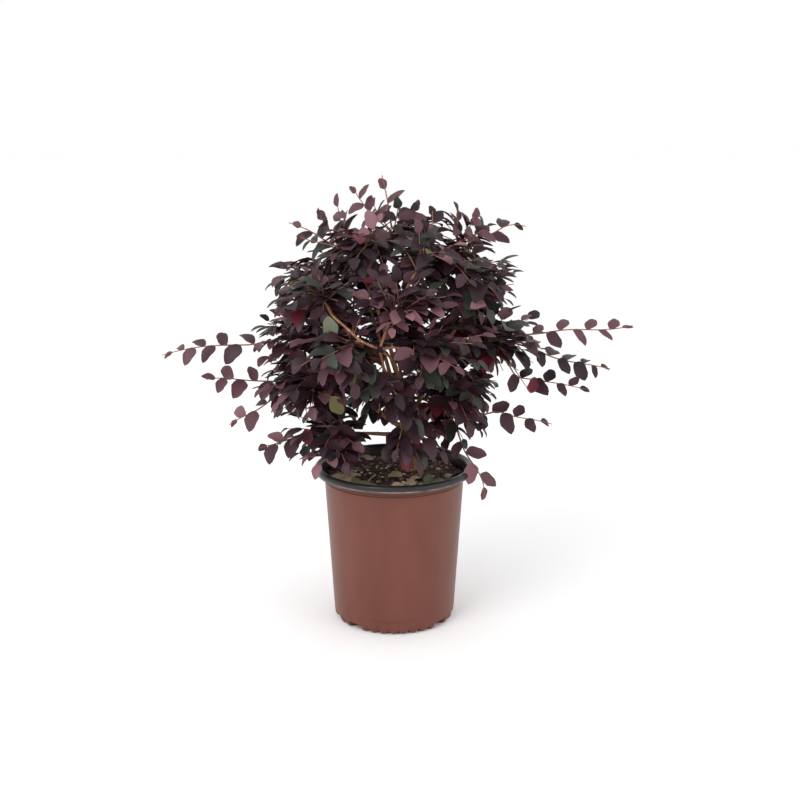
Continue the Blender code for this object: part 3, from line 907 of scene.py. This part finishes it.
def growSprays():
    for name in sprayNodes:
        low, high = (Vector(corner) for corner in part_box(name))
        hub = nearestHub((low + high) / 2)
        line = centreLine(name, hub)
        line = [hub.lerp(line[0], sprays["sink"]), *line]
        path, _ = denser(line, [1.0] * len(line), sprays["ringGap"])
        radii = taper(sprays["rootRadius"], sprays["tipRadius"], len(path))
        sweptTube(path, radii, sprays["sides"], twigPoints, twigFaces)
        leafTwig(path[:-2], sprays["light"], sprays["leafLength"], sprays["bareShare"],
                 sprays["spacing"], sprays["facing"])


growSprays()
print("sprays grown")

# upright shoots that make the crown's uneven top, by the place of their tips
shoots = {
    "tips": (
        (-0.055, -0.020, 0.617), (-0.078, 0.010, 0.598), (-0.104, -0.010, 0.588),
        (0.006, -0.030, 0.594), (0.028, 0.020, 0.585), (0.052, -0.030, 0.586),
        (0.086, -0.010, 0.588), (0.112, 0.020, 0.576), (0.130, -0.020, 0.568),
        (-0.030, 0.060, 0.592), (0.030, 0.090, 0.584), (-0.070, 0.080, 0.572),
        (0.085, 0.070, 0.574), (-0.020, -0.070, 0.580), (0.040, -0.090, 0.566),
        (-0.125, -0.040, 0.552),
    ),
    "rootRadius": 0.0011,
    "tipRadius": 0.0005,
    "rings": 9,
    "sides": 6,
    "rise": 0.45,
    "leafLength": (0.021, 0.033),
    "spacing": 0.0110,
    "bareShare": 0.25,
    # painted light: the shoots on the crown's top take mostly lit leaf colours
    "light": 0.9,
    "facing": 0.9,
    "facingShift": 0.05,
}


def growShoots():
    for place in shoots["tips"]:
        tip = Vector(place)
        hub = nearestHub(tip)
        control = hub.lerp(tip, 0.5)
        control.x += shoots["rise"] * (tip.x - control.x)
        control.y += shoots["rise"] * (tip.y - control.y)
        path = bend(hub, control, tip, shoots["rings"])
        radii = taper(shoots["rootRadius"], shoots["tipRadius"], shoots["rings"])
        sweptTube(path, radii, shoots["sides"], twigPoints, twigFaces)
        facing = Vector((tip.x, tip.y - shoots["facingShift"], 0)).normalized() * shoots["facing"]
        leafTwig(path[:-1], shoots["light"], shoots["leafLength"], shoots["bareShare"],
                 shoots["spacing"], facing)


growShoots()
print("shoots grown")

# single leaves that stand out by their colour, each on its own twig from the nearest mass:
# kind, pixel of its middle in the photograph, y, heading in the picture in degrees, length
singles = {
    "leaves": (
        ("wineRed", (533, 385), -0.030, 75, 0.024),
        ("wineRed", (308, 438), -0.060, -70, 0.026),
        ("oliveYellow", (337, 406), -0.125, -60, 0.030),
        ("paleGreen", (330, 328), -0.130, 100, 0.032),
    ),
    "normal": Vector((0, -1, 0.3)),
    "widthShare": 0.65,
    "droop": 0.4,
    "twigBend": 0.6,
}


def growSingles():
    for kind, pixel, depth, heading, length in singles["leaves"]:
        turn = math.radians(heading)
        axis = Vector((math.cos(turn), 0, math.sin(turn)))
        base = photoSpot(pixel, depth) - axis * length / 2
        hub = nearestHub(base)
        addTwig(bend(hub, hub.lerp(base, singles["twigBend"]), base, crown["twigRings"]))
        addLeaf(kind, base, axis, singles["normal"], length, length * singles["widthShare"],
                singles["droop"])


growSingles()
print("single leaves grown")

# leaves that lie on the soil: kind, place, heading and pitch in degrees, length
fallen = {
    "leaves": (
        ("dryTan", (-0.078, -0.040, 0.2150), 20, 18, 0.030),
        ("dryOlive", (-0.066, -0.056, 0.2150), -35, 14, 0.034),
        ("dryTan", (-0.060, -0.034, 0.2155), 70, 22, 0.028),
        ("dryOlive", (-0.086, -0.018, 0.2150), -60, 12, 0.032),
        ("dryTan", (-0.004, -0.084, 0.2155), 12, 10, 0.030),
        ("dryTan", (-0.072, -0.062, 0.2155), 8, 16, 0.030),
        ("dryOlive", (-0.052, -0.074, 0.2155), -8, 14, 0.032),
        ("dryTan", (-0.088, -0.032, 0.2160), -48, 20, 0.028),
        ("dryTan", (0.024, -0.052, 0.2160), 40, 20, 0.028),
        ("dryOlive", (0.074, -0.040, 0.2155), 60, 22, 0.030),
        ("dryTan", (0.012, -0.030, 0.2160), 170, 18, 0.026),
        ("dryOlive", (0.050, -0.058, 0.2155), -28, 20, 0.034),
        ("paleGreen", (0.046, -0.068, 0.2150), 75, 48, 0.026),
        ("dryTan", (0.030, -0.066, 0.2150), 155, 12, 0.024),
        ("dryOlive", (0.040, 0.050, 0.2150), 100, 16, 0.030),
        ("dryTan", (-0.030, 0.062, 0.2150), 190, 16, 0.030),
    ),
    "tiltX": (-0.3, 0.3),
    "tiltY": (-0.5, 0.1),
    "widthShare": 0.6,
    "droop": 1.1,
}


def dropLeaves():
    for kind, place, heading, pitch, length in fallen["leaves"]:
        turn, rise = math.radians(heading), math.radians(pitch)
        axis = Vector((math.cos(turn) * math.cos(rise), math.sin(turn) * math.cos(rise),
                       math.sin(rise)))
        normal = Vector((draws.uniform(*fallen["tiltX"]), draws.uniform(*fallen["tiltY"]), 1))
        addLeaf(kind, Vector(place), axis, normal, length, length * fallen["widthShare"],
                fallen["droop"])


dropLeaves()
print("fallen leaves laid")


def buildLeaves():
    allKinds = {name: (upper, under) for name, (upper, under, _, _) in leafKinds.items()}
    allKinds.update(placedKinds)
    for name, (upper, under) in allKinds.items():
        points, faces, sides = leafData[name]
        finishes = [plainMaterial(name + "_leaf", upper, leaf["upperRoughness"], leaf["upperSpecular"]),
                    plainMaterial(name + "_leaf_underside", under, leaf["underRoughness"])]
        addPiece(name + "Leaves", points, faces, finishes, sides, leaf["sharpAngle"])
        print(name, len(faces), "faces")
    twigs = addPiece("twigs", twigPoints, twigFaces, [mottledMaterial(*leaf["bark"])])
    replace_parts(twigs, *massNodes, *sprayNodes)


buildLeaves()
print("leaves built")

# plain studio
studio = {
    "keyPlace": Vector((-1.3, -1.6, 2.0)),
    "keyPower": 26.0,
    "fillPlace": Vector((1.8, -1.0, 1.0)),
    "fillPower": 5.0,
    "lampSize": 1.4,
    "white": (1.0, 1.0, 1.0),
    "worldStrength": 1.0,
    "floorHalf": 60.0,
    "floorRoughness": 0.9,
    "floorDrop": 0.0002,
}


def addLight(name, place, power):
    light = bpy.data.lights.new(name, "AREA")
    light.energy = power
    light.size = studio["lampSize"]
    lamp = bpy.data.objects.new(name, light)
    lamp.location = place
    lamp.rotation_euler = (view["target"] - place).to_track_quat("-Z", "Y").to_euler()
    bpy.context.collection.objects.link(lamp)


def addFloor():
    half = studio["floorHalf"]
    corners = [(-half, -half, 0), (half, -half, 0), (half, half, 0), (-half, half, 0)]
    mesh = bpy.data.meshes.new("floor")
    mesh.from_pydata(corners, [], [(0, 1, 2, 3)])
    mesh.materials.append(plainMaterial("pale_floor", studio["white"], studio["floorRoughness"]))
    floor = bpy.data.objects.new("floor", mesh)
    floor.location.z = -studio["floorDrop"]
    bpy.context.collection.objects.link(floor)


def addCamera():
    camera = bpy.data.objects.new("camera", bpy.data.cameras.new("camera"))
    camera.data.lens = view["lens"]
    camera.data.sensor_width = view["sensor"]
    camera.location = photoEye
    camera.rotation_euler = (math.radians(90) - view["elevation"], 0, 0)
    bpy.context.collection.objects.link(camera)
    bpy.context.scene.camera = camera


def addWorld():
    world = bpy.data.worlds.new("studio")
    bpy.context.scene.world = world
    world.use_nodes = True
    background = world.node_tree.nodes["Background"]
    background.inputs["Color"].default_value = (*studio["white"], 1)
    background.inputs["Strength"].default_value = studio["worldStrength"]
    bpy.context.scene.view_settings.view_transform = "Standard"


addFloor()
addLight("key", studio["keyPlace"], studio["keyPower"])
addLight("fill", studio["fillPlace"], studio["fillPower"])
addWorld()
addCamera()
print("studio set")
